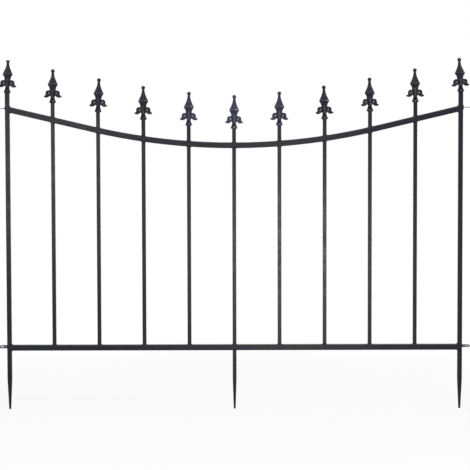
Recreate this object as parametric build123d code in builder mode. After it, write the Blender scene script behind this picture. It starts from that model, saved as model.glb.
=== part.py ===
from build123d import *
from math import atan2, cos, radians, sin, sqrt, tan
import os

# A decorative steel garden fence panel: two posts and nine bars stand in a straight
# lower rail and pass through a sagging upper rail. Each carries a cast spear finial,
# and both posts and the centre bar run on below the lower rail as ground spikes.
# Millimetres. X runs along the panel, Y through it and Z up. The origin is in the
# middle of the flat foot of the centre spike.

# Bays and sections of the uprights
bays_each_side = 5
bay_pitch = 118.0
post_side = 12.0
post_corner = 1.0
bar_side = 10.0
bar_corner = 0.8

# Square rail tube
rail_side = 15.0
rail_wall = 1.2
rail_corner = 1.6
punch_clearance = 0.15

# Heights of the rails' centre lines over the feet of the spikes
lower_rail_height = 162.0
upper_rail_height = 786.0
rail_sag = 95.0
bend_reach = 187.0

# Finial seats: clear height over the top of the upper rail, in the middle and at the
# posts, and how sharply the line of seats rises from the middle to the posts
seat_gap_centre = 35.5
seat_gap_posts = 35.5
seat_curve = 1.5

# Forged ground spikes
spike_length = 80.0
spike_foot_side = 5.0

# Joining lugs at the rail ends
lug_length = 21.5
lug_width = 18.0
lug_thickness = 1.6
lug_hole_diameter = 9.0
lug_hole_reach = 13.0
lug_lift = 2.5

# Cast spear finial: width across its flats at each height over its seat
finial_stem = ((17.0, 2.6), (15.8, 3.8), (12.2, 8.2), (9.4, 14.0), (15.4, 31.0), (15.4, 38.6))
finial_cheek = ((19.8, 42.8), (26.4, 48.4))
finial_blade = ((21.0, 54.6), (13.6, 63.0), (9.0, 70.2), (5.8, 77.5))
foot_overhang = 0.5
front_band = 5.4
shoulder_ledge = 2.0
ball_diameter = 9.8
ball_height = 83.3
ball_sides = 12

# Leaf of the finial seen from its side: reach from the axis and height over the seat,
# from its crown round the tip to its root, and then the eye that is cast through it
leaf_crown = ((0.0, 32.0), (10.4, 33.2), (14.4, 33.2), (17.2, 31.2), (18.4, 28.4), (18.4, 22.4))
leaf_tip = ((19.6, 19.9), (22.8, 18.6), (23.4, 17.2), (22.6, 15.8))
leaf_root = ((19.8, 14.3), (17.0, 13.8), (14.0, 14.8), (8.0, 19.0), (0.0, 20.0))
leaf_eye = ((7.2, 25.4), (8.8, 26.6), (12.2, 25.8), (13.4, 24.0), (12.2, 23.2), (8.6, 24.0))
leaf_thickness = 9.0
leaf_tip_thickness = 3.0
leaf_taper_start = 14.0

# The right-hand end finial was welded on with a slight lean towards the middle
end_finial_lean = 3.0
lean_fill = 0.8

# The upper rail is bent in one arc with straight ends. Its straight directions,
# carried on, meet the lowest tangent at bend_reach on each side of the middle.
half_span = bays_each_side * bay_pitch
rail_low_point = upper_rail_height - rail_sag
end_angle = atan2(rail_sag, half_span - bend_reach)
bend_radius = bend_reach / tan(end_angle / 2)
bend_end = bend_radius * sin(end_angle)

# What passes through the rails or butts against the posts follows their sizes
punch_side = bar_side + 2 * punch_clearance
rail_end = half_span - post_side / 2
lower_rail_floor = lower_rail_height - rail_side / 2 + rail_wall


def upper_rail_line(x):
    """Height of the upper rail's centre line at x."""
    if abs(x) < bend_end:
        return rail_low_point + bend_radius - sqrt(bend_radius**2 - x**2)
    return rail_low_point + (abs(x) - bend_reach) * tan(end_angle)


def finial_seat(x):
    """Height of the top of the upright at x, where its finial sits."""
    lowest = rail_low_point + rail_side / 2 + seat_gap_centre
    highest = upper_rail_height + rail_side / 2 + seat_gap_posts
    return lowest + (highest - lowest) * (abs(x) / half_span) ** seat_curve


def save(part, name):
    part.label = name
    export_step(part, f"parts/{name}.step")


def bar_section(plane, side, corner):
    """Solid square section with its corners taken off."""
    with BuildSketch(plane) as section:
        Rectangle(side, side)
        chamfer(section.vertices(), corner)
    return section.sketch


def tube_section(plane):
    """Hollow square section of the rail tube."""
    with BuildSketch(plane) as section:
        Rectangle(rail_side, rail_side)
        chamfer(section.vertices(), rail_corner)
        inner_side = rail_side - 2 * rail_wall
        Rectangle(inner_side, inner_side, mode=Mode.SUBTRACT)
    return section.sketch


def plain_bar(x):
    """Inner bar, from the floor of the lower rail to its finial."""
    with BuildPart() as bar:
        foot = Plane((x, 0, lower_rail_floor))
        extrude(bar_section(foot, bar_side, bar_corner), amount=finial_seat(x) - lower_rail_floor)
    return bar.part


def spiked_upright(x, side, corner):
    """Upright that runs from its finial down to a forged ground spike."""
    with BuildPart() as upright:
        spike_root = Plane((x, 0, spike_length))
        extrude(bar_section(spike_root, side, corner), amount=finial_seat(x) - spike_length)
        foot_corner = corner * spike_foot_side / side
        foot = bar_section(Plane((x, 0, 0)), spike_foot_side, foot_corner)
        loft(sections=[foot, bar_section(spike_root, side, corner)])
    return upright.part


def joining_lug(side, rail_height):
    """Flat joining lug with a round end, standing out from a post's outer face."""
    root = half_span + post_side / 2
    straight = lug_length - lug_width / 2
    with BuildPart() as lug:
        with BuildSketch(Plane.XY.offset(rail_height + lug_lift)):
            with Locations((side * (root + straight / 2), 0)):
                Rectangle(straight, lug_width)
            with Locations((side * (root + straight), 0)):
                Circle(lug_width / 2)
            with Locations((side * (root + lug_hole_reach), 0)):
                Circle(lug_hole_diameter / 2, mode=Mode.SUBTRACT)
        extrude(amount=lug_thickness / 2, both=True)
    return lug.part


def turned_prisms(outline, turns, depth):
    """What is left when a closed outline is cut through from several sides in turn."""
    with BuildPart() as solid:
        for turn in turns:
            across = (cos(radians(turn)), sin(radians(turn)), 0)
            through = (sin(radians(turn)), -cos(radians(turn)), 0)
            with BuildSketch(Plane((0, 0, 0), x_dir=across, z_dir=through)):
                Polygon(*outline, align=None)
            cut = Mode.ADD if turn == turns[0] else Mode.INTERSECT
            extrude(amount=depth, both=True, mode=cut)
    return solid.part


def both_sides(widths):
    """Closed outline from widths and heights, the same on both sides of the axis."""
    right = [(width / 2, height) for width, height in widths]
    return right + [(-reach, height) for reach, height in reversed(right)]


def spear_core(foot_side):
    """Foot, stem, neck and blade of the finial, cut from the flats and the diagonals."""
    foot = [(foot_side + foot_overhang, 0), *finial_stem]
    tip_width, tip_height = finial_blade[-1]
    tip = (tip_width, ball_height)
    shoulder_width, shoulder_height = finial_cheek[-1]
    flats = [*foot, *finial_cheek, *finial_blade, tip]

    # Below the shoulder the diagonals leave a flat front band, above it they meet
    edges = [((width + front_band) / sqrt(2), height) for width, height in finial_cheek]
    ledge_width = edges[-1][0] - 2 * shoulder_ledge
    slimmer = ledge_width / shoulder_width
    edges.append((ledge_width, shoulder_height + shoulder_ledge))
    edges.extend((width * slimmer, height) for width, height in finial_blade[:-1])
    edges = [*foot, *edges, (tip_width, tip_height), tip]

    across_flats = turned_prisms(both_sides(flats), (0, 90), shoulder_width)
    across_edges = turned_prisms(both_sides(edges), (45, 135), shoulder_width)
    return across_flats & across_edges


def spear_ball():
    """Ball on the finial's tip, with the flats of the casting."""
    half_step = radians(180 / ball_sides)
    corner_reach = ball_diameter / 2 / cos(half_step)
    outline = []
    for index in range(ball_sides):
        turn = half_step * (2 * index + 1)
        outline.append((corner_reach * sin(turn), ball_height + corner_reach * cos(turn)))
    return turned_prisms(outline, range(0, 180, 360 // ball_sides), ball_diameter)


def spear_leaf():
    """One leaf, which arches out from the neck, turns down and flicks out to a tip."""
    with BuildPart() as leaf:
        with BuildSketch(Plane.XZ):
            Polygon(*leaf_crown, *leaf_tip, *leaf_root, align=None)
            Polygon(*leaf_eye, align=None, mode=Mode.SUBTRACT)
        extrude(amount=leaf_thickness / 2, both=True)
        with BuildSketch(Plane.XY):
            tip_reach = max(reach for reach, height in leaf_tip)
            near = (leaf_taper_start, leaf_thickness / 2)
            half = [(0, leaf_thickness / 2), near, (tip_reach, leaf_tip_thickness / 2)]
            Polygon(*half, *[(reach, -side) for reach, side in reversed(half)], align=None)
        extrude(amount=max(height for reach, height in leaf_crown), mode=Mode.INTERSECT)
    return leaf.part


def spear_finial(foot_side, lean=0):
    """Cast spear finial for an upright of the given side, with its seat at Z = 0."""
    with BuildPart() as finial:
        with Locations(Rotation(0, -lean, 0)):
            add(spear_core(foot_side))
            add(spear_ball())
        for turn in range(0, 360, 90):
            add(spear_leaf().rotate(Axis.Z, turn).rotate(Axis.Y, -lean))
        if lean:
            # The weld fills the wedge under the foot, which stays flat on its seat
            foot = foot_side + foot_overhang
            Box(foot, foot, lean_fill, align=(Align.CENTER, Align.CENTER, Align.MIN))
            split(bisect_by=Plane.XY, keep=Keep.TOP)
    return finial.part


os.makedirs("parts", exist_ok=True)

bar_finial = spear_finial(bar_side)
post_finials = {"left": spear_finial(post_side), "right": spear_finial(post_side, end_finial_lean)}

for index in range(-bays_each_side, bays_each_side + 1):
    x = index * bay_pitch
    hand = "left" if index < 0 else "right"
    place = "centre" if index == 0 else f"{hand}_{abs(index)}"
    seat = Location((x, 0, finial_seat(x)))
    if abs(index) == bays_each_side:
        save(spiked_upright(x, post_side, post_corner), f"{hand}_post")
        save(post_finials[hand].moved(seat), f"finial_{place}")
    elif index == 0:
        save(spiked_upright(x, bar_side, bar_corner), "centre_bar")
        save(bar_finial.moved(seat), "finial_centre")
    else:
        save(plain_bar(x), f"bar_{place}")
        save(bar_finial.moved(seat), f"finial_{place}")

inner_uprights = [index * bay_pitch for index in range(1 - bays_each_side, bays_each_side)]

with BuildPart() as upper_rail:
    with BuildLine(Plane.XZ) as rail_path:
        left_bend = (-bend_end, upper_rail_line(bend_end))
        right_bend = (bend_end, upper_rail_line(bend_end))
        Line((-half_span, upper_rail_height), left_bend)
        ThreePointArc(left_bend, (0, rail_low_point), right_bend)
        Line(right_bend, (half_span, upper_rail_height))
    path = rail_path.line
    sweep(sections=tube_section(Plane(path @ 0, x_dir=(0, 1, 0), z_dir=path % 0)), path=path)
    split(bisect_by=Plane.YZ.offset(rail_end), keep=Keep.BOTTOM)
    split(bisect_by=Plane.YZ.offset(-rail_end), keep=Keep.TOP)
    for x in inner_uprights:
        with Locations((x, 0, upper_rail_line(x))):
            Box(punch_side, punch_side, 2 * rail_side, mode=Mode.SUBTRACT)
save(upper_rail.part, "upper_rail")

with BuildPart() as lower_rail:
    left_end = Plane((-rail_end, 0, lower_rail_height), x_dir=(0, 1, 0), z_dir=(1, 0, 0))
    extrude(tube_section(left_end), amount=2 * rail_end)
    for x in inner_uprights:
        with Locations((x, 0, lower_rail_height + rail_side / 2)):
            Box(punch_side, punch_side, rail_side, mode=Mode.SUBTRACT)
    with Locations((0, 0, lower_rail_height)):
        Box(punch_side, punch_side, 2 * rail_side, mode=Mode.SUBTRACT)
save(lower_rail.part, "lower_rail")

for side, hand in ((-1, "left"), (1, "right")):
    save(joining_lug(side, upper_rail_height), f"upper_lug_{hand}")
    save(joining_lug(side, lower_rail_height), f"lower_lug_{hand}")
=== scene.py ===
from math import cos, pi, radians, sin, tan

import bmesh
import bpy
from bpy.props import FloatProperty, FloatVectorProperty, IntProperty, PointerProperty
from mathutils import Matrix, Vector, noise


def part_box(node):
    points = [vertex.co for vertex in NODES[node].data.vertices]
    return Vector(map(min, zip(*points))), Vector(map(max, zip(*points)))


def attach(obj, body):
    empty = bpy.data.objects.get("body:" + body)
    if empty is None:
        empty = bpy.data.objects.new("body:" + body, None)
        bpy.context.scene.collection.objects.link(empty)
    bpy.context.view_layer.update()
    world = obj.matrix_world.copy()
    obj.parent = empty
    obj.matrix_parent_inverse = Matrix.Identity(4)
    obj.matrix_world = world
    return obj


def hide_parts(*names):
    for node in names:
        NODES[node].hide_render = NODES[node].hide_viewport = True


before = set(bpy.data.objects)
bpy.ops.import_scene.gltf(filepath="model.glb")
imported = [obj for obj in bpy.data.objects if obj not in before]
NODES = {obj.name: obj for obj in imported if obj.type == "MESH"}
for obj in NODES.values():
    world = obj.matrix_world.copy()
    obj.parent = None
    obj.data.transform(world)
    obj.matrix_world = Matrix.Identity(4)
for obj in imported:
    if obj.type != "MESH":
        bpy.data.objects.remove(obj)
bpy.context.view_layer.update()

bl_info = {
    "name": "Steel garden fence panel",
    "version": (1, 0, 0),
    "blender": (4, 5, 0),
    "location": "3D View > Sidebar > Fence panel",
    "description": "Cast spear finials, weld beads and powder coat for a steel fence panel",
    "category": "Object",
}

MM = 0.001
# Heights that clear the whole panel, in metres
ABOVE_ALL = 2.0
BELOW_ALL = -1.0


def linear(hex_colour):
    """sRGB hex colour as linear red, green, blue and alpha."""
    channels = [int(hex_colour[i:i + 2], 16) / 255 for i in (1, 3, 5)]
    curve = [c / 12.92 if c <= 0.04045 else ((c + 0.055) / 1.055) ** 2.4 for c in channels]
    return (*curve, 1.0)


# Frame: which upright carries which finial, and what the rails and lugs meet

FINIALS = sorted(name for name in NODES if name.startswith("finial_"))
POSTS = ("left_post", "right_post")
RAILS = ("upper_rail", "lower_rail")
LUGS = sorted(name for name in NODES if "_lug_" in name)
BARS = sorted(name for name in NODES if name.startswith("bar_")) + ["centre_bar"]
TWICE_WELDED_LUG = "upper_lug_right"
# Twist of the lugs that were welded on with their front edge low, in degrees
LUG_TWIST = {"lower_lug_left": 18.0, "lower_lug_right": 13.0}
# Lean of each finial to the right, in degrees, as it was welded on
FINIAL_LEAN = {
    "finial_left_5": 2.0, "finial_left_4": 0.9, "finial_left_3": 2.0, "finial_left_1": 0.6,
    "finial_centre": 0.7, "finial_right_2": -1.5, "finial_right_3": -1.0,
    "finial_right_4": -1.2, "finial_right_5": -3.0,
}
# Height over the seat at which a finial's ball is cut flat, as it came out of the mould
FLAT_TIPS = {"finial_left_5": 84.2 * MM}
# Distances from the middle between which the painted light on the middle castings fades into the
# darker coat
PAINTED_LIGHT_REACH = (60 * MM, 210 * MM)


def upright_under(finial):
    """Name of the bar or post that a finial sits on."""
    place = finial.removeprefix("finial_")
    names = (f"bar_{place}", f"{place}_bar", f"{place.split('_')[0]}_post")
    return next(name for name in names if name in NODES)


def surface_height(name, x, y, from_above=True):
    """Height where a vertical line at x, y first meets a node, in metres."""
    start, way = (ABOVE_ALL, -1) if from_above else (BELOW_ALL, 1)
    hit, place, _, _ = NODES[name].ray_cast(Vector((x, y, start)), Vector((0, 0, way)))
    if not hit:
        raise RuntimeError(f"No surface of {name} at {x:.3f}, {y:.3f}")
    return place.z


# Shape helpers


def smooth_line(points, steps, closed=False):
    """Points of a smooth line that passes through the given points."""
    count = len(points)
    line = []
    for i in range(count if closed else count - 1):
        if closed:
            a, b, c, d = (points[(i + k) % count] for k in (-1, 0, 1, 2))
        else:
            b, c = points[i], points[i + 1]
            a = points[i - 1] if i > 0 else [2 * p - q for p, q in zip(b, c)]
            d = points[i + 2] if i + 2 < count else [2 * q - p for p, q in zip(b, c)]
        for step in range(steps):
            t = step / steps
            line.append(tuple(
                0.5 * (2 * q + (r - p) * t + (2 * p - 5 * q + 4 * r - s) * t**2
                       + (3 * q - 3 * r + s - p) * t**3)
                for p, q, r, s in zip(a, b, c, d)
            ))
    return line if closed else line + [tuple(points[-1])]


def width_at(line, height):
    """Reach of a line of (reach, height) points at a height."""
    for (r0, z0), (r1, z1) in zip(line, line[1:]):
        if z0 <= height <= z1 and z1 > z0:
            return r0 + (r1 - r0) * (height - z0) / (z1 - z0)
    return line[0][0] if height < line[0][1] else line[-1][0]


def new_object(name, mesh):
    obj = bpy.data.objects.new(name, mesh)
    bpy.context.scene.collection.objects.link(obj)
    return obj


def evaluated_mesh(obj):
    """Plain mesh of an object with its modifiers applied."""
    graph = bpy.context.evaluated_depsgraph_get()
    return bpy.data.meshes.new_from_object(obj.evaluated_get(graph), depsgraph=graph)


def path_mesh(name, paths, closed=False):
    """Mesh of edges only, one run of edges for each path."""
    vertices, edges = [], []
    for path in paths:
        first = len(vertices)
        vertices.extend(path)
        edges.extend((first + i, first + i + 1) for i in range(len(path) - 1))
        if closed:
            edges.append((len(vertices) - 1, first))
    mesh = bpy.data.meshes.new(name)
    mesh.from_pydata(vertices, edges, [])
    return mesh


# Node helpers


def add_node(tree, kind, inputs=None, **settings):
    """Adds a node with its settings, and values or links for its inputs."""
    node = tree.nodes.new(kind)
    for name, value in settings.items():
        setattr(node, name, value)
    for socket, value in (inputs or {}).items():
        if isinstance(value, bpy.types.NodeSocket):
            tree.links.new(value, node.inputs[socket])
        else:
            node.inputs[socket].default_value = value
    return node


def empty_material(name):
    """New material and its node tree, which is still empty."""
    material = bpy.data.materials.new(name)
    material.use_nodes = True
    material.node_tree.nodes.clear()
    return material, material.node_tree


def geometry_tree(name, inputs):
    """Empty geometry tree with its named inputs, its input node and its output node."""
    tree = bpy.data.node_groups.new(name, "GeometryNodeTree")
    tree.interface.new_socket("Geometry", in_out="INPUT", socket_type="NodeSocketGeometry")
    for label, kind in inputs:
        tree.interface.new_socket(label, in_out="INPUT", socket_type=kind)
    tree.interface.new_socket("Geometry", in_out="OUTPUT", socket_type="NodeSocketGeometry")
    return tree, tree.nodes.new("NodeGroupInput"), tree.nodes.new("NodeGroupOutput")


def grown_mesh(name, mesh, tree, values):
    """Plain mesh that a geometry tree grows from another mesh."""
    obj = new_object(name, mesh)
    modifier = obj.modifiers.new(tree.name, "NODES")
    modifier.node_group = tree
    for item in tree.interface.items_tree:
        if item.in_out == "INPUT" and item.name in values:
            modifier[item.identifier] = values[item.name]
    grown = evaluated_mesh(obj)
    grown.name = name
    bpy.data.objects.remove(obj)
    return grown


# Powder coat: the wave lengths of its shade, of the dust on it and of its gloss

SHADE_WAVE = 90 * MM
DUST_WAVE = 14 * MM
GLOSS_WAVE = 22 * MM
# How far the roughness drifts below and above its middle value
GLOSS_DRIFT = (0.04, 0.05)
# Upward part of the normal from which dust stays on a face
DUST_SLOPE = 0.35
# Pointiness of the hollows and of the ridges on a rough piece
POINTINESS = (0.44, 0.58)
# Part of the noise's range over which the gloss makes its whole drift
NOISE_SPAN = (0.3, 0.7)
COAT_IOR = 1.5
COAT_SPECULAR = 0.22


def coat_colour(tree, settings, place, surface, thin_ridges_and_hollow_shade, middle):
    """Shade of the coat, with painted light on the middle castings, and a lighter thin coat on
    ridges against painted shade in hollows, where that is asked for.
    """
    # The coat's shade drifts a little over a hand's width, as it does when sprayed by hand
    drift = add_node(tree, "ShaderNodeTexNoise", {
        "Vector": place, "Scale": 1 / SHADE_WAVE, "Detail": 3.0,
    })
    shade = add_node(tree, "ShaderNodeMix", {
        "Factor": drift.outputs["Fac"], "A": settings.coat_dark, "B": settings.coat_light,
    }, data_type="RGBA")
    if middle:
        # Painted light: the castings in the middle are painted a shade lighter and bluer, standing
        # in for the lamps' highlight on the middle of the panel
        sideways = add_node(tree, "ShaderNodeSeparateXYZ", {"Vector": place})
        away = add_node(tree, "ShaderNodeMath", {0: sideways.outputs["X"]}, operation="ABSOLUTE")
        near = add_node(tree, "ShaderNodeMapRange", {
            "Value": away.outputs["Value"], "From Min": PAINTED_LIGHT_REACH[0],
            "From Max": PAINTED_LIGHT_REACH[1], "To Min": middle, "To Max": 0.0,
        }, interpolation_type="SMOOTHSTEP")
        shade = add_node(tree, "ShaderNodeMix", {
            "Factor": near.outputs["Result"], "A": shade.outputs["Result"],
            "B": settings.painted_light_middle,
        }, data_type="RGBA")
    if thin_ridges_and_hollow_shade:
        # The thin coat on the ridges shows lighter, and the darker hollows are painted shade
        ridge = add_node(tree, "ShaderNodeMapRange", {
            "Value": surface.outputs["Pointiness"], "From Min": POINTINESS[0],
            "From Max": POINTINESS[1], "To Min": 0.0, "To Max": thin_ridges_and_hollow_shade,
        })
        shade = add_node(tree, "ShaderNodeMix", {
            "Factor": ridge.outputs["Result"], "A": shade.outputs["Result"],
            "B": settings.ridge_coat_and_hollow_shade,
        }, data_type="RGBA")
    return shade.outputs["Result"]


def dusted_colour(tree, settings, place, surface, colour, dust):
    """Colour with fine dust over it, in patches, on the faces that look up."""
    facing = add_node(tree, "ShaderNodeSeparateXYZ", {"Vector": surface.outputs["True Normal"]})
    upward = add_node(tree, "ShaderNodeMapRange", {
        "Value": facing.outputs["Z"], "From Min": DUST_SLOPE, "From Max": 1.0,
        "To Min": 0.0, "To Max": dust,
    })
    patches = add_node(tree, "ShaderNodeTexNoise", {
        "Vector": place, "Scale": 1 / DUST_WAVE, "Detail": 5.0,
    })
    dusty = add_node(tree, "ShaderNodeMath", {
        0: upward.outputs["Result"], 1: patches.outputs["Fac"],
    }, operation="MULTIPLY")
    dusted = add_node(tree, "ShaderNodeMix", {
        "Factor": dusty.outputs["Value"], "A": colour, "B": settings.dust_colour,
    }, data_type="RGBA")
    return dusted.outputs["Result"]


def coat_gloss(tree, settings, place):
    """Roughness of the satin coat, which varies with how the powder flowed out in the oven."""
    flow = add_node(tree, "ShaderNodeTexNoise", {
        "Vector": place, "Scale": 1 / GLOSS_WAVE, "Detail": 4.0,
    })
    gloss = add_node(tree, "ShaderNodeMapRange", {
        "Value": flow.outputs["Fac"], "From Min": NOISE_SPAN[0], "From Max": NOISE_SPAN[1],
        "To Min": settings.coat_roughness - GLOSS_DRIFT[0],
        "To Max": settings.coat_roughness + GLOSS_DRIFT[1],
    })
    return gloss.outputs["Result"]


def coat_relief(tree, place, peel, peel_depth, grain, grain_depth):
    """Metal grain under the coat, then the coat's own orange peel over it."""
    grit = add_node(tree, "ShaderNodeTexNoise", {
        "Vector": place, "Scale": 1 / grain, "Detail": 4.0,
    })
    under = add_node(tree, "ShaderNodeBump", {
        "Height": grit.outputs["Fac"], "Strength": 1.0, "Distance": grain_depth,
    })
    waves = add_node(tree, "ShaderNodeTexNoise", {
        "Vector": place, "Scale": 1 / peel, "Detail": 1.0,
    })
    over = add_node(tree, "ShaderNodeBump", {
        "Height": waves.outputs["Fac"], "Strength": 1.0, "Distance": peel_depth,
        "Normal": under.outputs["Normal"],
    })
    return over.outputs["Normal"]


def powder_coat(
    name, settings, peel, peel_depth, grain, grain_depth, dust, thin_ridges_and_hollow_shade=0.0, middle=0.0,
):
    """Satin black powder coat: peel is its wave length and grain that of the metal under it."""
    material, tree = empty_material(name)
    place = add_node(tree, "ShaderNodeTexCoord").outputs["Object"]
    surface = add_node(tree, "ShaderNodeNewGeometry")
    shade = coat_colour(tree, settings, place, surface, thin_ridges_and_hollow_shade, middle)
    paint = add_node(tree, "ShaderNodeBsdfPrincipled", {
        "Base Color": dusted_colour(tree, settings, place, surface, shade, dust),
        "Roughness": coat_gloss(tree, settings, place),
        "Normal": coat_relief(tree, place, peel, peel_depth, grain, grain_depth),
        "IOR": COAT_IOR, "Specular IOR Level": COAT_SPECULAR,
    })
    add_node(tree, "ShaderNodeOutputMaterial", {"Surface": paint.outputs["BSDF"]})
    return material


def coat_node(name, material):
    """Gives a carried-over node its coat."""
    obj = NODES[name]
    if not obj.material_slots:
        obj.data.materials.append(material)
    for slot in obj.material_slots:
        slot.material = material


# Cast spear finial, in millimetres: (reach from the axis, height over the seat)

FOOT_OVERHANG = 0.25
RIM_EDGE = ((8.8, 0.5), (8.9, 2.4), (8.3, 4.2))
LOWER_STEM = (
    (8.3, 4.2), (6.7, 8.2), (5.4, 12.6), (5.6, 16.5), (6.1, 24.0), (7.3, 30.0), (7.9, 34.0),
)
STEM = (*LOWER_STEM, (8.4, 38.2), (10.4, 42.8), (12.5, 46.2), (13.6, 48.6))
BLADE = ((13.6, 48.6), (12.1, 51.2), (9.4, 57.4), (6.9, 63.0), (4.6, 70.2), (3.2, 78.4))
# On the diagonals a ledge steps in from the top of the stem to the foot of the blade
STEM_DIAGONAL = (*LOWER_STEM, (8.2, 38.2), (9.5, 42.8), (10.8, 46.2), (11.6, 48.6))
BLADE_DIAGONAL = ((9.6, 50.4), (8.6, 52.6), (6.9, 57.4), (5.0, 63.0), (3.4, 70.2), (3.0, 78.4))
BALL_RADIUS = 5.2
BALL_HEIGHT = 83.0
BALL_SEGMENTS = 32
BALL_RINGS = 20
# Corners round the spear, steps between two points of a line, and how sharp the edges are
SPEAR_CORNERS = 72
CURVE_STEPS = 6
EDGE_SHARPNESS = 20

# Centre line of the rolled rim of a leaf, and edge of the slot under its arch
LEAF_LINE = (
    (2.0, 31.4), (7.0, 31.4), (11.0, 31.6), (14.6, 30.7), (16.8, 28.3), (17.2, 24.9), (17.2, 21.6),
    (18.8, 19.2), (21.2, 17.8), (22.0, 17.0), (21.0, 16.2), (18.6, 15.4), (16.2, 15.1),
    (13.6, 15.6), (11.0, 17.0), (8.4, 19.0), (2.0, 20.8),
)
SLOT_LINE = ((6.4, 24.9), (8.6, 25.7), (11.4, 25.8), (13.2, 25.0), (11.2, 24.8), (8.4, 24.6))
# Reach from which a leaf gets thinner, reach of its tip, and the share that is left there
LEAF_TAPER_START = 14.0
LEAF_TIP_REACH = 23.4
LEAF_TIP_SHARE = 0.36
# Rounding of the rolled rim as a share of its width, a little short of a full half
RIM_ROUNDING = 0.48
RIM_ROUNDING_STEPS = 5
# Passes that soften the edges of a casting
SOFT_PASSES = 6


def leaf_rim(tree, given, lines, order):
    """Rolled rim along the first of the lines, which is the leaf's outline."""
    first = add_node(tree, "ShaderNodeMath", {0: order, 1: 1.0}, operation="LESS_THAN")
    outline = add_node(tree, "GeometryNodeSeparateGeometry", {
        "Geometry": lines, "Selection": first.outputs["Value"],
    }, domain="CURVE")
    level = add_node(tree, "GeometryNodeSetCurveNormal", {
        "Curve": outline.outputs["Selection"],
    }, mode="Z_UP")
    width = given.outputs["Rim width"]
    section = add_node(tree, "GeometryNodeCurvePrimitiveQuadrilateral", {
        "Width": width, "Height": given.outputs["Rim depth"],
    })
    roll = add_node(tree, "ShaderNodeMath", {0: width, 1: RIM_ROUNDING}, operation="MULTIPLY")
    rolled = add_node(tree, "GeometryNodeFilletCurve", {
        "Curve": section.outputs["Curve"], "Count": RIM_ROUNDING_STEPS,
        "Radius": roll.outputs["Value"],
    }, mode="POLY")
    rim = add_node(tree, "GeometryNodeCurveToMesh", {
        "Curve": level.outputs["Curve"], "Profile Curve": rolled.outputs["Curve"],
    })
    return rim.outputs["Mesh"]


def leaf_web(tree, given, lines):
    """Web inside the outline, thinner than the rim, with the slot left open."""
    depth = given.outputs["Web depth"]
    plate = add_node(tree, "GeometryNodeFillCurve", {"Curve": lines}, mode="TRIANGLES")
    raised = add_node(tree, "GeometryNodeExtrudeMesh", {
        "Mesh": plate.outputs["Mesh"], "Offset": (0, 0, 1), "Offset Scale": depth,
        "Individual": False,
    })
    under = add_node(tree, "GeometryNodeFlipFaces", {"Mesh": plate.outputs["Mesh"]})
    closed = add_node(tree, "GeometryNodeJoinGeometry")
    tree.links.new(raised.outputs["Mesh"], closed.inputs["Geometry"])
    tree.links.new(under.outputs["Mesh"], closed.inputs["Geometry"])
    web = add_node(tree, "GeometryNodeMergeByDistance", {"Geometry": closed.outputs["Geometry"]})
    half = add_node(tree, "ShaderNodeMath", {0: depth, 1: -0.5}, operation="MULTIPLY")
    down = add_node(tree, "ShaderNodeCombineXYZ", {"Z": half.outputs["Value"]})
    centred = add_node(tree, "GeometryNodeTransform", {
        "Geometry": web.outputs["Geometry"], "Translation": down.outputs["Vector"],
    })
    return centred.outputs["Geometry"]


def upright_leaf(tree, given, leaf):
    """Leaf that gets thinner towards its tip, turned to stand upright."""
    place = add_node(tree, "GeometryNodeInputPosition").outputs["Position"]
    parts = add_node(tree, "ShaderNodeSeparateXYZ", {"Vector": place})
    taper = add_node(tree, "ShaderNodeMapRange", {
        "Value": parts.outputs["X"], "From Min": given.outputs["Taper start"],
        "From Max": given.outputs["Tip reach"], "To Min": 1.0, "To Max": given.outputs["Tip share"],
    })
    thinner = add_node(tree, "ShaderNodeCombineXYZ", {
        "X": 1.0, "Y": 1.0, "Z": taper.outputs["Result"],
    })
    squeezed = add_node(tree, "ShaderNodeVectorMath", {
        0: place, 1: thinner.outputs["Vector"],
    }, operation="MULTIPLY")
    tapered = add_node(tree, "GeometryNodeSetPosition", {
        "Geometry": leaf, "Position": squeezed.outputs["Vector"],
    })
    upright = add_node(tree, "GeometryNodeTransform", {
        "Geometry": tapered.outputs["Geometry"], "Rotation": (pi / 2, 0, 0),
    })
    return upright.outputs["Geometry"]


def leaf_tree():
    """Ring of leaves, each a rolled rim round a thinner web with a slot in it."""
    tree, given, result = geometry_tree("Cast leaves", (
        ("Rim width", "NodeSocketFloat"), ("Rim depth", "NodeSocketFloat"),
        ("Web depth", "NodeSocketFloat"), ("Taper start", "NodeSocketFloat"),
        ("Tip reach", "NodeSocketFloat"), ("Tip share", "NodeSocketFloat"),
        ("Leaves", "NodeSocketInt"), ("Finish", "NodeSocketMaterial"),
    ))
    curves = add_node(tree, "GeometryNodeMeshToCurve", {"Mesh": given.outputs["Geometry"]})
    lines = curves.outputs["Curve"]
    order = add_node(tree, "GeometryNodeInputIndex").outputs["Index"]
    leaf = add_node(tree, "GeometryNodeJoinGeometry")
    tree.links.new(leaf_rim(tree, given, lines, order), leaf.inputs["Geometry"])
    tree.links.new(leaf_web(tree, given, lines), leaf.inputs["Geometry"])

    share = add_node(tree, "ShaderNodeMath", {
        0: 2 * pi, 1: given.outputs["Leaves"],
    }, operation="DIVIDE")
    turn = add_node(tree, "ShaderNodeMath", {
        0: order, 1: share.outputs["Value"],
    }, operation="MULTIPLY")
    facing = add_node(tree, "ShaderNodeCombineXYZ", {"Z": turn.outputs["Value"]})
    axis = add_node(tree, "GeometryNodePoints", {"Count": given.outputs["Leaves"]})
    ring = add_node(tree, "GeometryNodeInstanceOnPoints", {
        "Points": axis.outputs["Points"], "Rotation": facing.outputs["Vector"],
        "Instance": upright_leaf(tree, given, leaf.outputs["Geometry"]),
    })
    real = add_node(tree, "GeometryNodeRealizeInstances", {"Geometry": ring.outputs["Instances"]})
    coated = add_node(tree, "GeometryNodeSetMaterial", {
        "Geometry": real.outputs["Geometry"], "Material": given.outputs["Finish"],
    })
    tree.links.new(coated.outputs["Geometry"], result.inputs["Geometry"])
    return tree


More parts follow.
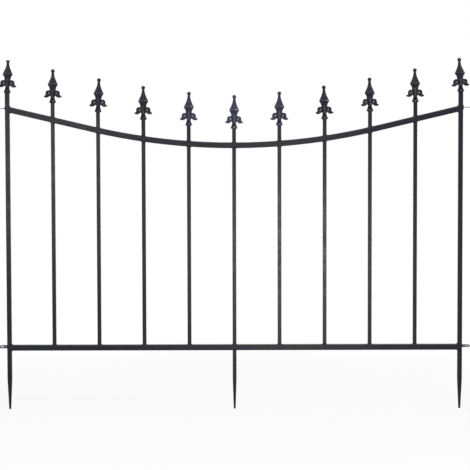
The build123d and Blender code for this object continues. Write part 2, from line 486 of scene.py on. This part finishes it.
def add_spear(shape, foot_side):
    """Adds foot, stem and blade: square across the flats, cut back on the diagonals."""
    edge = [(foot_side / 2 + FOOT_OVERHANG, 0.0), *RIM_EDGE]
    flats = edge + smooth_line(STEM, CURVE_STEPS)[1:] + smooth_line(BLADE, CURVE_STEPS)[1:]
    diagonals = edge + smooth_line(STEM_DIAGONAL, CURVE_STEPS)[1:]
    diagonals += smooth_line(BLADE_DIAGONAL, CURVE_STEPS)
    heights = sorted({z for _, z in flats} | {z for _, z in diagonals})
    rings = []
    for z in heights:
        across, cut = width_at(flats, z), width_at(diagonals, z)
        ring = []
        for i in range(SPEAR_CORNERS):
            angle = 2 * pi * i / SPEAR_CORNERS
            sides = [
                (across, angle), (across, angle + pi / 2),
                (cut, angle + pi / 4), (cut, angle - pi / 4),
            ]
            nearness = sum(abs(cos(turn) / reach) ** EDGE_SHARPNESS for reach, turn in sides)
            reach = nearness ** (-1 / EDGE_SHARPNESS) * MM
            ring.append(shape.verts.new((reach * cos(angle), reach * sin(angle), z * MM)))
        rings.append(ring)
    for lower, upper in zip(rings, rings[1:]):
        for i in range(SPEAR_CORNERS):
            j = (i + 1) % SPEAR_CORNERS
            shape.faces.new((lower[i], lower[j], upper[j], upper[i]))
    shape.faces.new(reversed(rings[0]))
    shape.faces.new(rings[-1])
    bmesh.ops.create_uvsphere(
        shape, u_segments=BALL_SEGMENTS, v_segments=BALL_RINGS, radius=BALL_RADIUS * MM,
        matrix=Matrix.Translation((0, 0, BALL_HEIGHT * MM)),
    )


def cast_finial(foot_side, settings, material):
    """Finial with its seat at the origin: spear and leaves run together as in one casting."""
    lines = []
    for line in (LEAF_LINE, SLOT_LINE):
        smooth = smooth_line(line, CURVE_STEPS, closed=True)
        lines.append([(reach * MM, height * MM, 0) for reach, height in smooth])
    leaves = grown_mesh("leaves", path_mesh("leaf_lines", lines, closed=True), leaf_tree(), {
        "Rim width": settings.leaf_rim_width, "Rim depth": settings.leaf_depth,
        "Web depth": settings.leaf_web_depth, "Taper start": LEAF_TAPER_START * MM,
        "Tip reach": LEAF_TIP_REACH * MM, "Tip share": LEAF_TIP_SHARE,
        "Leaves": settings.leaves, "Finish": material,
    })
    shape = bmesh.new()
    shape.from_mesh(leaves)
    add_spear(shape, foot_side)
    mesh = bpy.data.meshes.new("casting")
    shape.to_mesh(mesh)
    shape.free()
    obj = new_object("casting", mesh)
    fused = obj.modifiers.new("Fused", "REMESH")
    fused.mode = "VOXEL"
    fused.voxel_size = settings.casting_detail
    fused.use_smooth_shade = True
    soft = obj.modifiers.new("Soft edges", "SMOOTH")
    soft.factor = 0.5
    soft.iterations = SOFT_PASSES
    lighter = obj.modifiers.new("Fewer faces", "DECIMATE")
    lighter.ratio = settings.casting_share
    casting = evaluated_mesh(obj)
    bpy.data.objects.remove(obj)
    return casting


class FencePanelSettings(bpy.types.PropertyGroup):
    """Sizes and colours of the fence panel that a user would change."""

    coat_dark: FloatVectorProperty(
        name="Coat, dark", description="Darker shade of the powder coat",
        subtype="COLOR", size=4, min=0, max=1, default=linear("#0F1019"),
    )
    coat_light: FloatVectorProperty(
        name="Coat, light", description="Lighter shade of the powder coat",
        subtype="COLOR", size=4, min=0, max=1, default=linear("#171827"),
    )
    # Painted light: a lighter, bluer coat painted on the middle castings in place of the lamps'
    # highlight there
    painted_light_middle: FloatVectorProperty(
        name="Coat, middle", description="Lighter and bluer shade of the castings in the middle",
        subtype="COLOR", size=4, min=0, max=1, default=linear("#3A3B52"),
    )
    # Thin coat on the ridges, lighter than the hollows, whose darker coat is painted shade
    ridge_coat_and_hollow_shade: FloatVectorProperty(
        name="Coat on ridges", description="Shade of the thin coat on the ridges of the castings",
        subtype="COLOR", size=4, min=0, max=1, default=linear("#333544"),
    )
    dust_colour: FloatVectorProperty(
        name="Dust", description="Fine dust on the faces that look up",
        subtype="COLOR", size=4, min=0, max=1, default=linear("#6C6A68"),
    )
    coat_roughness: FloatProperty(
        name="Satin", description="Roughness of the satin coat",
        subtype="FACTOR", min=0.1, max=0.9, default=0.23,
    )
    leaves: IntProperty(
        name="Leaves", description="Leaves round each finial", min=2, max=6, default=4,
    )
    leaf_rim_width: FloatProperty(
        name="Leaf rim", description="Width of the rolled rim round a leaf",
        unit="LENGTH", default=2.8 * MM, min=1 * MM, max=4 * MM,
    )
    leaf_depth: FloatProperty(
        name="Leaf depth", description="Thickness of a leaf across its rim",
        unit="LENGTH", default=9 * MM, min=4 * MM, max=12 * MM,
    )
    leaf_web_depth: FloatProperty(
        name="Leaf web", description="Thickness of a leaf inside its rim",
        unit="LENGTH", default=6.4 * MM, min=2 * MM, max=10 * MM,
    )
    casting_detail: FloatProperty(
        name="Casting detail", description="Grid on which a casting's parts are run together",
        unit="LENGTH", default=0.42 * MM, min=0.3 * MM, max=2 * MM,
    )
    casting_share: FloatProperty(
        name="Casting faces", description="Share of a casting's faces that is kept",
        subtype="FACTOR", default=0.45, min=0.1, max=1.0,
    )
    casting_unevenness: FloatProperty(
        name="Casting unevenness", description="Depth of the waves that the sand mould leaves",
        unit="LENGTH", default=0.18 * MM, min=0, max=1 * MM,
    )
    finial_turn: FloatProperty(
        name="Finial turn",
        description="Most that a finial is turned from square, as welded by hand",
        subtype="ANGLE", default=radians(2.5), min=0, max=radians(10),
    )
    bead_radius: FloatProperty(
        name="Weld bead", description="Radius of the weld beads where bars pass the rails",
        unit="LENGTH", default=1.3 * MM, min=0.5 * MM, max=4 * MM,
    )
    lug_bead_radius: FloatProperty(
        name="Lug weld bead", description="Radius of the weld beads at the lugs and rail ends",
        unit="LENGTH", default=1.8 * MM, min=0.5 * MM, max=5 * MM,
    )
    seed: IntProperty(
        name="Seed", description="Seed for what differs from weld to weld and casting to casting",
        default=7, min=0,
    )


class FENCE_OT_coat(bpy.types.Operator):
    """Coat the posts, bars, rails and lugs in satin black powder coat"""

    bl_idname = "fence.coat"
    bl_label = "Powder coat"

    def execute(self, context):
        settings = context.scene.fence_panel
        # Drawn square tube: even coat, long soft orange peel, which shows as a slow shimmer
        tube = powder_coat(
            "Satin black powder coat on square tube", settings,
            peel=3.0 * MM, peel_depth=0.05 * MM, grain=0.7 * MM, grain_depth=0.01 * MM, dust=0.2,
        )
        # Solid square bar: the same coat over mill scale, a little tighter in the peel
        bar = powder_coat(
            "Satin black powder coat on square bar", settings,
            peel=2.4 * MM, peel_depth=0.05 * MM, grain=1.1 * MM, grain_depth=0.02 * MM, dust=0.2,
        )
        # Rail tube: most dust, because its top face lies open
        rail = powder_coat(
            "Satin black powder coat on rail tube", settings,
            peel=3.0 * MM, peel_depth=0.05 * MM, grain=0.7 * MM, grain_depth=0.01 * MM, dust=0.3,
        )
        # Punched strip: flat and tight, with the thin coat of a small part
        strip = powder_coat(
            "Satin black powder coat on flat strip", settings,
            peel=2.0 * MM, peel_depth=0.03 * MM, grain=0.6 * MM, grain_depth=0.01 * MM, dust=0.3,
        )
        for names, material in ((POSTS, tube), (BARS, bar), (RAILS, rail), (LUGS, strip)):
            for name in names:
                coat_node(name, material)
        return {"FINISHED"}


# Length of a sand mould's slow waves, and steps through the noise from casting to casting
MOULD_WAVE = 6 * MM
TURN_STRIDE = 3.7
SWELL_STRIDES = (5.1, 2.3)


class FENCE_OT_finials(bpy.types.Operator):
    """Cast the spear finials and seat one on each upright"""

    bl_idname = "fence.finials"
    bl_label = "Spear finials"

    def execute(self, context):
        settings = context.scene.fence_panel
        # Sand-cast iron: grainy under the coat, with a thin lighter coat on the ridges, painted
        # shade in the hollows and painted light on the middle castings
        cast = powder_coat(
            "Satin black powder coat on sand-cast iron", settings,
            peel=2.0 * MM, peel_depth=0.06 * MM, grain=0.8 * MM, grain_depth=0.06 * MM,
            dust=0.2, thin_ridges_and_hollow_shade=0.45, middle=1.0,
        )
        castings = {}
        for index, name in enumerate(FINIALS):
            low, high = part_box(upright_under(name))
            foot_side = round((high.x - low.x) / MM, 1)
            if foot_side not in castings:
                castings[foot_side] = cast_finial(foot_side, settings, cast)
            seat = Vector(((low.x + high.x) / 2, (low.y + high.y) / 2, high.z))
            mesh = castings[foot_side].copy()
            mesh.name = f"cast_{name}"
            self.weather(mesh, settings, index)
            if name in FLAT_TIPS:
                for vertex in mesh.vertices:
                    vertex.co.z = min(vertex.co.z, FLAT_TIPS[name])
            chance = noise.noise(Vector((index * TURN_STRIDE, settings.seed, 0.5)))
            swing = 2 * chance * settings.finial_turn
            lean = radians(FINIAL_LEAN.get(name, 0.0))
            mesh.transform(Matrix.Rotation(lean, 4, "Y") @ Matrix.Rotation(swing, 4, "Z"))
            for vertex in mesh.vertices:
                vertex.co.z = max(vertex.co.z, 0.0)
            mesh.transform(Matrix.Translation(seat))
            mesh.materials.clear()
            mesh.materials.append(cast)
            piece = new_object(f"cast_{name}", mesh)
            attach(piece, "root")
            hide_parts(name)
        return {"FINISHED"}

    def weather(self, mesh, settings, index):
        """Moves the surface in and out by the slow waves of a sand mould."""
        shift = Vector((index * SWELL_STRIDES[0], index * SWELL_STRIDES[1], settings.seed))
        moved = []
        for vertex in mesh.vertices:
            swell = noise.noise(vertex.co / MOULD_WAVE + shift)
            moved.append(vertex.co + vertex.normal * swell * settings.casting_unevenness)
        for vertex, place in zip(mesh.vertices, moved):
            vertex.co = place


class FENCE_OT_lugs(bpy.types.Operator):
    """Twist the lower lugs to the way they were welded on"""

    bl_idname = "fence.lugs"
    bl_label = "Twisted lugs"

    def execute(self, context):
        for name, twist in LUG_TWIST.items():
            strip = NODES[name]
            mesh = strip.data.copy()
            mesh.name = f"twisted_{name}"
            low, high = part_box(name)
            axis = Matrix.Translation((0, (low.y + high.y) / 2, (low.z + high.z) / 2))
            turned = axis @ Matrix.Rotation(radians(twist), 4, "X") @ axis.inverted()
            mesh.transform(turned @ strip.matrix_world)
            mesh.materials.clear()
            mesh.materials.append(strip.material_slots[0].material)
            piece = new_object(mesh.name, mesh)
            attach(piece, "root")
            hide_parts(name)
        return {"FINISHED"}


# Weld beads: ripples along a bead, as shares of its radius, and how much it swells by chance
RIPPLE_PITCH = 0.9
RIPPLE_DEPTH = 0.05
POINTS_PER_RIPPLE = 4
BEAD_SWELL = (0.9, 1.1)
BEAD_SIDES = 12
BEAD_END_SHARE = 0.95
# A finial's seat has a finer bead, and the beads across a bar stop short of its corners
SEAT_BEAD_SHARE = 0.5
WELDED_SHARE = 0.7


class FENCE_OT_welds(bpy.types.Operator):
    """Lay the weld beads where bars, rails, posts, lugs and finials meet"""

    bl_idname = "fence.welds"
    bl_label = "Weld beads"

    def execute(self, context):
        settings = context.scene.fence_panel
        # Weld metal under the coat: rippled, lighter on its ridges where the powder ran thin, with
        # painted shade in its hollows
        weld = powder_coat(
            "Satin black powder coat on weld beads", settings,
            peel=1.6 * MM, peel_depth=0.05 * MM, grain=0.8 * MM, grain_depth=0.05 * MM,
            dust=0.4, thin_ridges_and_hollow_shade=0.6,
        )
        tree = self.bead_tree()
        small, large = settings.bead_radius, settings.lug_bead_radius
        seams = (
            ("bar_welds", self.bar_seams(), small, "bar_coating"),
            ("rail_end_welds", self.rail_end_seams(), large, "rail_coating"),
            ("lug_welds", self.lug_seams(), large, "lug_coating"),
            ("seat_welds", self.seat_seams(), SEAT_BEAD_SHARE * small, "cast_coating"),
        )
        for order, (name, paths, radius, slot) in enumerate(seams):
            mesh = grown_mesh(name, path_mesh(name + "_lines", paths), tree, {
                "Bead radius": radius, "Ripple pitch": RIPPLE_PITCH * radius,
                "Ripple depth": RIPPLE_DEPTH, "Seed": settings.seed + order, "Finish": weld,
            })
            piece = new_object(name, mesh)
            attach(piece, "root")
        return {"FINISHED"}

    def bead_tree(self):
        """Half-sunk bead along each line, rippled as the weld pool moved on."""
        tree, given, result = geometry_tree("Weld bead", (
            ("Bead radius", "NodeSocketFloat"), ("Ripple pitch", "NodeSocketFloat"),
            ("Ripple depth", "NodeSocketFloat"), ("Seed", "NodeSocketInt"),
            ("Finish", "NodeSocketMaterial"),
        ))
        lines = add_node(tree, "GeometryNodeMeshToCurve", {"Mesh": given.outputs["Geometry"]})
        step = add_node(tree, "ShaderNodeMath", {
            0: given.outputs["Ripple pitch"], 1: 1 / POINTS_PER_RIPPLE,
        }, operation="MULTIPLY")
        fine = add_node(tree, "GeometryNodeResampleCurve", {
            "Curve": lines.outputs["Curve"], "Length": step.outputs["Value"],
        }, mode="LENGTH")
        swell = self.bead_swell(tree, given)
        shaped = add_node(tree, "GeometryNodeSetCurveRadius", {
            "Curve": fine.outputs["Curve"], "Radius": swell,
        })
        section = add_node(tree, "GeometryNodeCurvePrimitiveCircle", {
            "Resolution": BEAD_SIDES, "Radius": given.outputs["Bead radius"],
        })
        bead = add_node(tree, "GeometryNodeCurveToMesh", {
            "Curve": shaped.outputs["Curve"], "Profile Curve": section.outputs["Curve"],
            "Scale": swell, "Fill Caps": True,
        })
        ends = add_node(tree, "GeometryNodeMeshIcoSphere", {
            "Radius": given.outputs["Bead radius"], "Subdivisions": 2,
        })
        tips = add_node(tree, "GeometryNodeCurveEndpointSelection")
        caps = add_node(tree, "GeometryNodeInstanceOnPoints", {
            "Points": shaped.outputs["Curve"], "Selection": tips.outputs["Selection"],
            "Instance": ends.outputs["Mesh"], "Scale": (BEAD_END_SHARE,) * 3,
        })
        both = add_node(tree, "GeometryNodeJoinGeometry")
        tree.links.new(bead.outputs["Mesh"], both.inputs["Geometry"])
        tree.links.new(caps.outputs["Instances"], both.inputs["Geometry"])
        real = add_node(tree, "GeometryNodeRealizeInstances", {
            "Geometry": both.outputs["Geometry"],
        })
        shaded = add_node(tree, "GeometryNodeSetShadeSmooth", {
            "Geometry": real.outputs["Geometry"],
        })
        coated = add_node(tree, "GeometryNodeSetMaterial", {
            "Geometry": shaded.outputs["Geometry"], "Material": given.outputs["Finish"],
        })
        tree.links.new(coated.outputs["Geometry"], result.inputs["Geometry"])
        return tree

    def bead_swell(self, tree, given):
        """Radius along a bead as a share of its middle value: ripples, and chance on top."""
        along = add_node(tree, "GeometryNodeSplineParameter")
        phase = add_node(tree, "ShaderNodeMath", {
            0: along.outputs["Length"], 1: given.outputs["Ripple pitch"],
        }, operation="DIVIDE")
        turns = add_node(tree, "ShaderNodeMath", {
            0: phase.outputs["Value"], 1: 2 * pi,
        }, operation="MULTIPLY")
        wave = add_node(tree, "ShaderNodeMath", {0: turns.outputs["Value"]}, operation="SINE")
        ripple = add_node(tree, "ShaderNodeMath", {
            0: wave.outputs["Value"], 1: given.outputs["Ripple depth"], 2: 1.0,
        }, operation="MULTIPLY_ADD")
        chance = add_node(tree, "FunctionNodeRandomValue", {
            2: BEAD_SWELL[0], 3: BEAD_SWELL[1], "Seed": given.outputs["Seed"],
        }, data_type="FLOAT")
        swell = add_node(tree, "ShaderNodeMath", {
            0: ripple.outputs["Value"], 1: chance.outputs[1],
        }, operation="MULTIPLY")
        return swell.outputs["Value"]

    def bar_seams(self):
        """Lines along both sides of each bar, where it meets the rails."""
        beside = 0.3 * MM
        paths = []
        for name in BARS:
            low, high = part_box(name)
            front, back = WELDED_SHARE * low.y, WELDED_SHARE * high.y
            for rail in RAILS:
                for x in (low.x - beside, high.x + beside):
                    above = surface_height(rail, x, 0.0)
                    below = surface_height(rail, x, 0.0, from_above=False)
                    heights = (above, below) if rail == "upper_rail" else (above,)
                    paths.extend([(x, front, z), (x, back, z)] for z in heights)
        return paths

    def rail_end_seams(self):
        """Lines round the ends of the rails, against the posts."""
        onto_rail = 0.4 * MM
        corner = 1.2 * MM
        paths = []
        for rail in RAILS:
            low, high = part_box(rail)
            for x, inward in ((low.x, 1), (high.x, -1)):
                top = surface_height(rail, x + inward * MM, 0.0)
                foot = surface_height(rail, x + inward * MM, 0.0, from_above=False)
                edge = x + inward * onto_rail
                paths.append([
                    (edge, low.y + corner, top), (edge, high.y - corner, top),
                    (edge, high.y, top - corner), (edge, high.y, foot + corner),
                    (edge, high.y - corner, foot), (edge, low.y + corner, foot),
                    (edge, low.y, foot + corner), (edge, low.y, top - corner),
                    (edge, low.y + corner, top),
                ])
        return paths

    def lug_seams(self):
        """Lines over and under each lug, against the post's outer face."""
        beside = 0.5 * MM
        second_under, second_over = 4.0 * MM, 3.5 * MM
        paths = []
        for name in LUGS:
            low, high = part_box(name)
            post = POSTS[0] if name.endswith("left") else POSTS[1]
            post_low, post_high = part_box(post)
            x = post_low.x if name.endswith("left") else post_high.x
            runs = [low.z - beside, high.z + beside]
            if name == TWICE_WELDED_LUG:
                runs += [low.z - second_under, high.z + second_over]
            slope = tan(radians(LUG_TWIST.get(name, 0.0)))
            ends = (WELDED_SHARE * post_low.y, WELDED_SHARE * post_high.y)
            paths.extend([(x, y, z + y * slope) for y in ends] for z in runs)
        return paths

    def seat_seams(self):
        """Lines round the top of each upright, under its finial's foot."""
        under_seat = 0.3 * MM
        inset = 1.0 * MM
        paths = []
        for name in FINIALS:
            low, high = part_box(upright_under(name))
            z = high.z - under_seat
            paths.append([
                (low.x + inset, low.y, z), (high.x - inset, low.y, z),
                (high.x, low.y + inset, z), (high.x, high.y - inset, z),
                (high.x - inset, high.y, z), (low.x + inset, high.y, z),
                (low.x, high.y - inset, z), (low.x, low.y + inset, z),
                (low.x + inset, low.y, z),
            ])
        return paths


# Studio lamps: name, place, target, width and height in metres, and power in watts
LAMPS = (
    ("key", (0.6, -2.6, 2.9), (0, 0, 0.5), (1.0, 1.0), 50),
    ("spears", (0.02, -2.6, 2.75), (0, 0, 0.8), (0.35, 0.35), 14),
    ("front", (0.26, -4.1, 0.12), (0, 0, 0.5), (0.3, 0.3), 12),
    ("window", (-0.91, -4.1, 0.47), (0, 0, 0.5), (0.5, 0.4), 6),
    ("top", (0, 0.2, 3.2), (0, 0, 0.4), (2.6, 1.2), 20),
    ("back right", (1.55, 1.7, 3.2), (0, 0, 0.8), (0.35, 0.35), 11),
    ("back left", (-1.7, 1.7, 3.2), (0, 0, 0.8), (0.3, 0.3), 4),
)
# Half the floor's side, and the distances between which it runs into the backdrop, in metres
FLOOR_REACH = 2.4
FLOOR_FADE = (0.6, 1.5)
# Own glow of the floor near the panel, where a full glow would hide its shadow
FLOOR_GLOW = 0.86
# Share of the backdrop's brightness that falls on the panel
BACKDROP_LIGHT = 0.25

# Camera at the photograph's angle: place in metres, and turns in radians
IMAGE_WIDTH = 470
FOCUS_IN_PIXELS = 1960
SENSOR_WIDTH = 36
CAMERA_PLACE = (0.0080, -5.1125, 0.7854)
CAMERA_YAW = -0.0012
CAMERA_PITCH = 0.0642
CAMERA_ROLL = -0.0025


class FENCE_OT_stage(bpy.types.Operator):
    """Set up the pale floor, the studio lights and the camera"""

    bl_idname = "fence.stage"
    bl_label = "Studio"

    def execute(self, context):
        self.add_floor()
        self.add_world(context.scene)
        for lamp in LAMPS:
            self.add_lamp(*lamp)
        self.add_camera(context.scene)
        context.scene.view_settings.view_transform = "Standard"
        return {"FINISHED"}

    def add_floor(self):
        corners = ((-1, -1), (1, -1), (1, 1), (-1, 1))
        mesh = bpy.data.meshes.new("floor")
        mesh.from_pydata(
            [(x * FLOOR_REACH, y * FLOOR_REACH, 0) for x, y in corners], [], [(0, 1, 2, 3)],
        )
        floor = new_object("floor", mesh)
        mesh.materials.append(self.white_board())

    def white_board(self):
        """Matt white board, which runs into the backdrop further out."""
        material, tree = empty_material("Matt white board")
        place = add_node(tree, "ShaderNodeTexCoord").outputs["Object"]
        reach = add_node(tree, "ShaderNodeVectorMath", {0: place}, operation="LENGTH")
        # Near the panel the board shows its shadow, further out it is as bright as the backdrop
        away = add_node(tree, "ShaderNodeMapRange", {
            "Value": reach.outputs["Value"], "From Min": FLOOR_FADE[0], "From Max": FLOOR_FADE[1],
            "To Min": FLOOR_GLOW, "To Max": 1.0,
        }, interpolation_type="SMOOTHSTEP")
        glow = add_node(tree, "ShaderNodeMath", {
            0: self.seen_directly(tree), 1: away.outputs["Result"],
        }, operation="MULTIPLY")
        board = add_node(tree, "ShaderNodeBsdfDiffuse", {"Color": linear("#F4F4F4")})
        white = add_node(tree, "ShaderNodeEmission", {"Color": linear("#FFFFFF"), "Strength": 1.0})
        both = add_node(tree, "ShaderNodeMixShader", {
            0: glow.outputs["Value"], 1: board.outputs["BSDF"], 2: white.outputs["Emission"],
        })
        add_node(tree, "ShaderNodeOutputMaterial", {"Surface": both.outputs["Shader"]})
        return material

    def seen_directly(self, tree):
        """One where a ray comes from the camera, a reflection or through glass."""
        path = add_node(tree, "ShaderNodeLightPath")
        direct = add_node(tree, "ShaderNodeMath", {
            0: path.outputs["Is Camera Ray"], 1: path.outputs["Is Glossy Ray"],
        }, operation="MAXIMUM")
        through = add_node(tree, "ShaderNodeMath", {
            0: direct.outputs["Value"], 1: path.outputs["Is Transmission Ray"],
        }, operation="MAXIMUM")
        return through.outputs["Value"]

    def add_world(self, scene):
        """White backdrop, which is bright to look at and lights the panel only a little."""
        world = bpy.data.worlds.new("Studio")
        scene.world = world
        world.use_nodes = True
        tree = world.node_tree
        tree.nodes.clear()
        strength = add_node(tree, "ShaderNodeMapRange", {
            "Value": self.seen_directly(tree), "To Min": BACKDROP_LIGHT, "To Max": 1.0,
        })
        light = add_node(tree, "ShaderNodeBackground", {
            "Color": linear("#FFFFFF"), "Strength": strength.outputs["Result"],
        })
        add_node(tree, "ShaderNodeOutputWorld", {"Surface": light.outputs["Background"]})

    def add_lamp(self, name, place, target, size, power):
        data = bpy.data.lights.new(name, "AREA")
        data.shape = "RECTANGLE"
        data.size, data.size_y = size
        data.energy = power
        lamp = new_object(name, data)
        lamp.location = place
        lamp.rotation_euler = (Vector(target) - Vector(place)).to_track_quat("-Z", "Y").to_euler()

    def add_camera(self, scene):
        """Camera whose focal length is given in pixels of the photograph's frame."""
        data = bpy.data.cameras.new("camera")
        data.sensor_width = SENSOR_WIDTH
        data.lens = SENSOR_WIDTH * FOCUS_IN_PIXELS / IMAGE_WIDTH
        camera = new_object("camera", data)
        yaw = Matrix.Rotation(-CAMERA_YAW, 4, "Z")
        pitch = Matrix.Rotation(pi / 2 - CAMERA_PITCH, 4, "X")
        roll = Matrix.Rotation(CAMERA_ROLL, 4, "Z")
        camera.matrix_world = Matrix.Translation(CAMERA_PLACE) @ yaw @ pitch @ roll
        scene.camera = camera


class FENCE_PT_panel(bpy.types.Panel):
    """Pieces and settings of the fence panel"""

    bl_label = "Fence panel"
    bl_idname = "FENCE_PT_panel"
    bl_space_type = "VIEW_3D"
    bl_region_type = "UI"
    bl_category = "Fence panel"

    def draw(self, context):
        settings = context.scene.fence_panel
        for name in settings.__annotations__:
            self.layout.prop(settings, name)
        for operator in OPERATORS:
            self.layout.operator(operator.bl_idname)


OPERATORS = (FENCE_OT_coat, FENCE_OT_finials, FENCE_OT_lugs, FENCE_OT_welds, FENCE_OT_stage)
CLASSES = (FencePanelSettings, *OPERATORS, FENCE_PT_panel)


def register():
    for cls in CLASSES:
        bpy.utils.register_class(cls)
    bpy.types.Scene.fence_panel = PointerProperty(type=FencePanelSettings)


def unregister():
    del bpy.types.Scene.fence_panel
    for cls in reversed(CLASSES):
        bpy.utils.unregister_class(cls)


def main():
    register()
    bpy.ops.fence.coat()
    bpy.ops.fence.finials()
    bpy.ops.fence.lugs()
    bpy.ops.fence.welds()
    bpy.ops.fence.stage()


if __name__ == "__main__":
    main()
